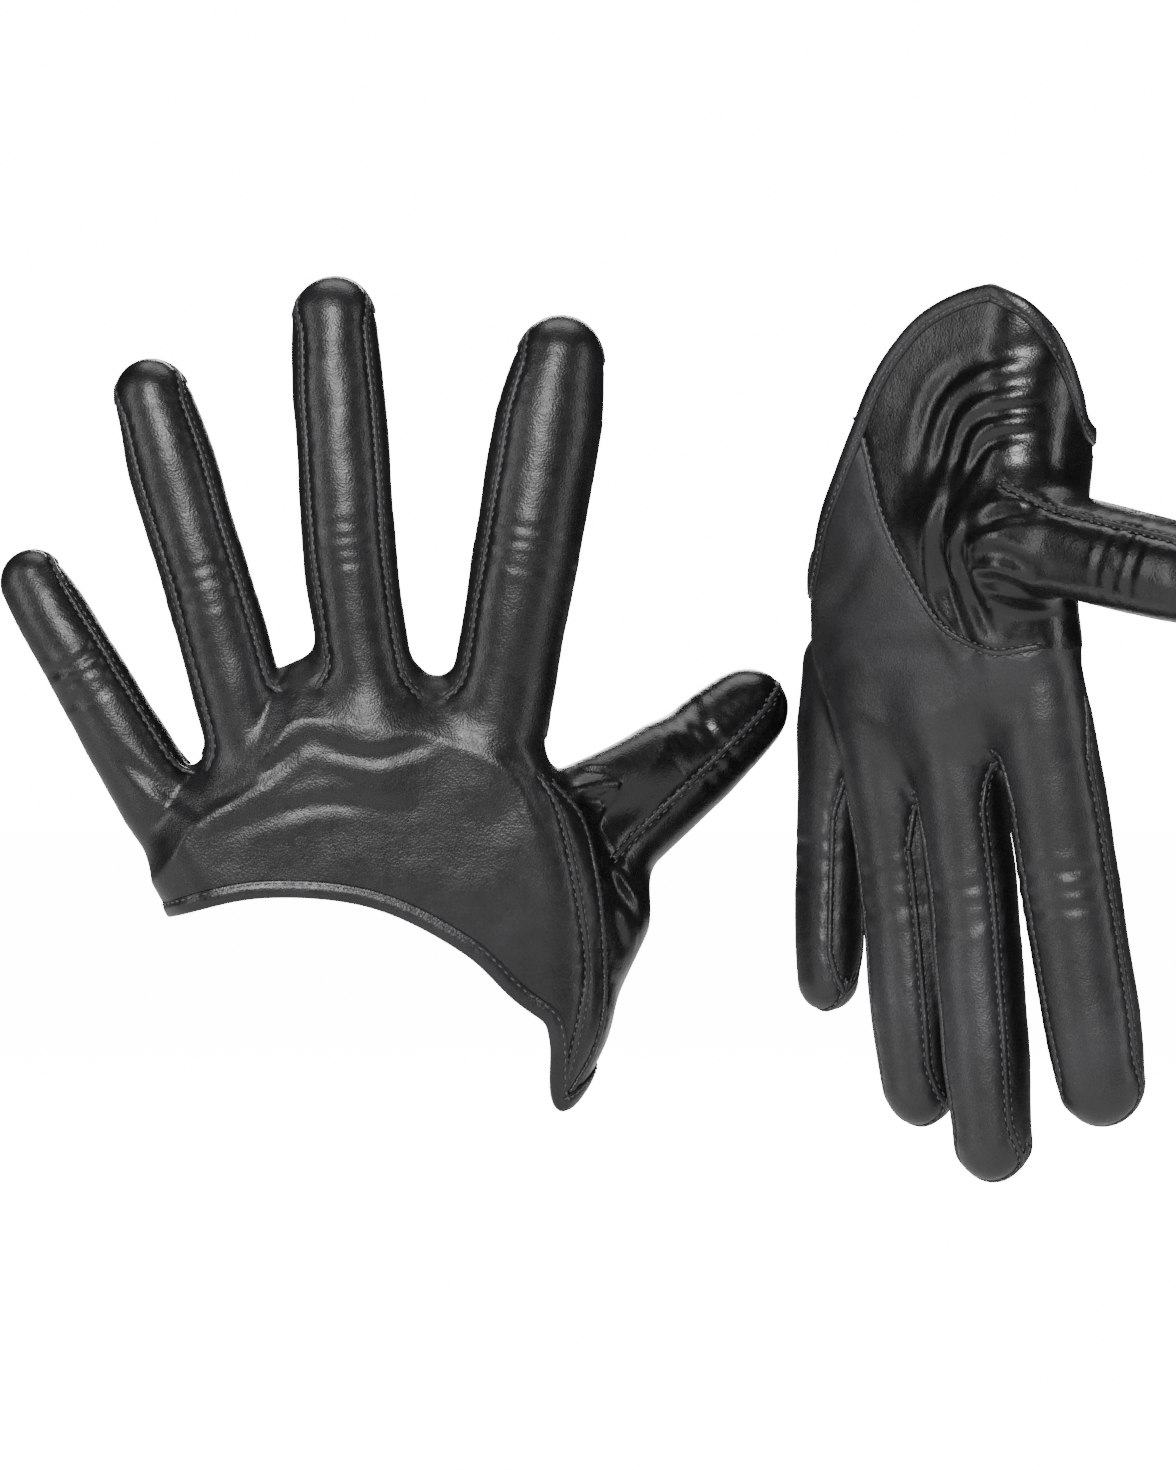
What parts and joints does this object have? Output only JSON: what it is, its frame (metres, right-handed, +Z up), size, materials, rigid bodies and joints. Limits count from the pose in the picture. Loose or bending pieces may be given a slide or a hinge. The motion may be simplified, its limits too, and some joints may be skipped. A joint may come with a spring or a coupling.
{
  "type": "leather gloves",
  "caption": "Cut-back black leather gloves with closed fingers, forked fourchettes, a rounded heel tongue and topstitched hems.",
  "frame": {"origin": "middle of the first glove's hand opening, where the hand enters it", "axes": "+X from the little finger to the thumb of the first glove, +Y from its back to its palm, +Z up to its fingertips"},
  "size_m": [0.2463, 0.129, 0.1841],
  "materials": {
    "trank_leather": "smooth satin glove leather, fine grain",
    "fourchette_leather": "smooth satin glove leather, softer and darker",
    "heel_leather": "smooth satin glove leather with wrinkles",
    "thumb_leather": "smooth satin glove leather",
    "side_leather": "smooth satin glove leather",
    "hem_leather": "turned and topstitched glove leather",
    "thread": "black sewing thread"
  },
  "bodies": {
    "glove_a_hand": {"glove_a_back": "trank_leather", "glove_a_palm": "trank_leather", "glove_a_heel_panel": "heel_leather", "glove_a_side_strip": "side_leather", "glove_a_back_hem": "hem_leather", "glove_a_heel_hem": "hem_leather", "glove_a_finger_roots": "trank_leather", "glove_a_fourchette_forks": "fourchette_leather", "glove_a_thumb_foot": "thumb_leather", "glove_a_thumb_quirk": "fourchette_leather"},
    "glove_a_index_middle_part": {"glove_a_index_middle_trank": "trank_leather", "glove_a_index_middle_fourchette": "fourchette_leather"},
    "glove_a_index_tip_part": {"glove_a_index_tip_trank": "trank_leather", "glove_a_index_tip_fourchette": "fourchette_leather"},
    "glove_a_middle_middle_part": {"glove_a_middle_middle_trank": "trank_leather", "glove_a_middle_middle_fourchette": "fourchette_leather"},
    "glove_a_middle_tip_part": {"glove_a_middle_tip_trank": "trank_leather", "glove_a_middle_tip_fourchette": "fourchette_leather"},
    "glove_a_ring_middle_part": {"glove_a_ring_middle_trank": "trank_leather", "glove_a_ring_middle_fourchette": "fourchette_leather"},
    "glove_a_ring_tip_part": {"glove_a_ring_tip_trank": "trank_leather", "glove_a_ring_tip_fourchette": "fourchette_leather"},
    "glove_a_little_middle_part": {"glove_a_little_middle_trank": "trank_leather", "glove_a_little_middle_fourchette": "fourchette_leather"},
    "glove_a_little_tip_part": {"glove_a_little_tip_trank": "trank_leather", "glove_a_little_tip_fourchette": "fourchette_leather"},
    "glove_a_thumb_middle_part": {"glove_a_thumb_middle": "thumb_leather"},
    "glove_a_thumb_tip_part": {"glove_a_thumb_tip": "thumb_leather"},
    "glove_b_hand": {"glove_b_back": "trank_leather", "glove_b_palm": "trank_leather", "glove_b_heel_panel": "heel_leather", "glove_b_side_strip": "side_leather", "glove_b_back_hem": "hem_leather", "glove_b_heel_hem": "hem_leather", "glove_b_finger_roots": "trank_leather", "glove_b_fourchette_forks": "fourchette_leather", "glove_b_thumb_foot": "thumb_leather", "glove_b_thumb_quirk": "fourchette_leather"},
    "glove_b_index_middle_part": {"glove_b_index_middle_trank": "trank_leather", "glove_b_index_middle_fourchette": "fourchette_leather"},
    "glove_b_index_tip_part": {"glove_b_index_tip_trank": "trank_leather", "glove_b_index_tip_fourchette": "fourchette_leather"},
    "glove_b_middle_middle_part": {"glove_b_middle_middle_trank": "trank_leather", "glove_b_middle_middle_fourchette": "fourchette_leather"},
    "glove_b_middle_tip_part": {"glove_b_middle_tip_trank": "trank_leather", "glove_b_middle_tip_fourchette": "fourchette_leather"},
    "glove_b_ring_middle_part": {"glove_b_ring_middle_trank": "trank_leather", "glove_b_ring_middle_fourchette": "fourchette_leather"},
    "glove_b_ring_tip_part": {"glove_b_ring_tip_trank": "trank_leather", "glove_b_ring_tip_fourchette": "fourchette_leather"},
    "glove_b_little_middle_part": {"glove_b_little_middle_trank": "trank_leather", "glove_b_little_middle_fourchette": "fourchette_leather"},
    "glove_b_little_tip_part": {"glove_b_little_tip_trank": "trank_leather", "glove_b_little_tip_fourchette": "fourchette_leather"},
    "glove_b_thumb_middle_part": {"glove_b_thumb_middle": "thumb_leather"},
    "glove_b_thumb_tip_part": {"glove_b_thumb_tip": "thumb_leather"}
  },
  "joints": [
    {"name": "glove_a_index_knuckle", "type": "hinge", "parent": "glove_a_hand", "child": "glove_a_index_middle_part", "pos_m": [0.02515, -0.003, 0.05882], "axis": [-0.9863, 0, 0.165], "range_deg": [0, 55]},
    {"name": "glove_a_index_middle_joint", "type": "hinge", "parent": "glove_a_index_middle_part", "child": "glove_a_index_tip_part", "pos_m": [0.02927, -0.003, 0.08348], "axis": [-0.9863, 0, 0.165], "range_deg": [0, 72]},
    {"name": "glove_a_middle_knuckle", "type": "hinge", "parent": "glove_a_hand", "child": "glove_a_middle_middle_part", "pos_m": [-0.00331, -0.00377, 0.05887], "axis": [-0.9903, 0, -0.1392], "range_deg": [0, 55]},
    {"name": "glove_a_middle_middle_joint", "type": "hinge", "parent": "glove_a_middle_middle_part", "child": "glove_a_middle_tip_part", "pos_m": [-0.00693, -0.00332, 0.08461], "axis": [-0.9903, 0, -0.1392], "range_deg": [0, 72]},
    {"name": "glove_a_ring_knuckle", "type": "hinge", "parent": "glove_a_hand", "child": "glove_a_ring_middle_part", "pos_m": [-0.02897, -0.00277, 0.05153], "axis": [-0.9636, 0, -0.2672], "range_deg": [0, 55]},
    {"name": "glove_a_ring_middle_joint", "type": "hinge", "parent": "glove_a_ring_middle_part", "child": "glove_a_ring_tip_part", "pos_m": [-0.03565, -0.00234, 0.07561], "axis": [-0.9636, 0, -0.2672], "range_deg": [0, 72]},
    {"name": "glove_a_little_knuckle", "type": "hinge", "parent": "glove_a_hand", "child": "glove_a_little_middle_part", "pos_m": [-0.05008, -0.00052, 0.03997], "axis": [-0.8616, 0, -0.5075], "range_deg": [0, 55]},
    {"name": "glove_a_little_middle_joint", "type": "hinge", "parent": "glove_a_little_middle_part", "child": "glove_a_little_tip_part", "pos_m": [-0.06022, 0.00035, 0.05718], "axis": [-0.8616, 0, -0.5075], "range_deg": [0, 72]},
    {"name": "glove_a_thumb_root", "type": "hinge", "parent": "glove_a_hand", "child": "glove_a_thumb_middle_part", "pos_m": [0.04959, 0.01465, 0.0276], "axis": [-0.62, -0.2333, 0.7491], "range_deg": [0, 35]},
    {"name": "glove_a_thumb_tip_joint", "type": "hinge", "parent": "glove_a_thumb_middle_part", "child": "glove_a_thumb_tip_part", "pos_m": [0.06548, 0.01912, 0.04214], "axis": [-0.62, -0.2333, 0.7491], "range_deg": [0, 60]},
    {"name": "glove_b_index_knuckle", "type": "hinge", "parent": "glove_b_hand", "child": "glove_b_index_middle_part", "pos_m": [0.13543, -0.01616, 0.04016], "axis": [-0.7603, 0.638, -0.1219], "range_deg": [0, 55]},
    {"name": "glove_b_index_middle_joint", "type": "hinge", "parent": "glove_b_index_middle_part", "child": "glove_b_index_tip_part", "pos_m": [0.13932, -0.01624, 0.01546], "axis": [-0.7603, 0.638, -0.1219], "range_deg": [0, 72]},
    {"name": "glove_b_middle_knuckle", "type": "hinge", "parent": "glove_b_hand", "child": "glove_b_middle_middle_part", "pos_m": [0.11827, -0.0035, 0.03609], "axis": [-0.761, 0.6385, -0.1149], "range_deg": [0, 55]},
    {"name": "glove_b_middle_middle_joint", "type": "hinge", "parent": "glove_b_middle_middle_part", "child": "glove_b_middle_tip_part", "pos_m": [0.12111, -0.00476, 0.01028], "axis": [-0.761, 0.6385, -0.1149], "range_deg": [0, 72]},
    {"name": "glove_b_ring_knuckle", "type": "hinge", "parent": "glove_b_hand", "child": "glove_b_ring_middle_part", "pos_m": [0.10399, 0.00898, 0.03812], "axis": [-0.7607, 0.6383, -0.1184], "range_deg": [0, 55]},
    {"name": "glove_b_ring_middle_joint", "type": "hinge", "parent": "glove_b_ring_middle_part", "child": "glove_b_ring_tip_part", "pos_m": [0.10727, 0.00828, 0.01334], "axis": [-0.7607, 0.6383, -0.1184], "range_deg": [0, 72]},
    {"name": "glove_b_little_knuckle", "type": "hinge", "parent": "glove_b_hand", "child": "glove_b_little_middle_part", "pos_m": [0.09407, 0.02458, 0.03905], "axis": [-0.7657, 0.6425, -0.0279], "range_deg": [0, 55]},
    {"name": "glove_b_little_middle_joint", "type": "hinge", "parent": "glove_b_little_middle_part", "child": "glove_b_little_tip_part", "pos_m": [0.0933, 0.0228, 0.01914], "axis": [-0.7657, 0.6425, -0.0279], "range_deg": [0, 72]},
    {"name": "glove_b_thumb_root", "type": "hinge", "parent": "glove_b_hand", "child": "glove_b_thumb_middle_part", "pos_m": [0.13462, -0.03271, 0.08413], "axis": [-0.5813, -0.3177, -0.7491], "range_deg": [0, 35]},
    {"name": "glove_b_thumb_tip_joint", "type": "hinge", "parent": "glove_b_thumb_middle_part", "child": "glove_b_thumb_tip_part", "pos_m": [0.14939, -0.04828, 0.07927], "axis": [-0.5813, -0.3177, -0.7491], "range_deg": [0, 60]},
    {"name": "glove_b_apart", "type": "slide", "parent": "glove_a_hand", "child": "glove_b_hand", "axis": [1, 0, 0], "range_m": [0, 0.12]}
  ]
}
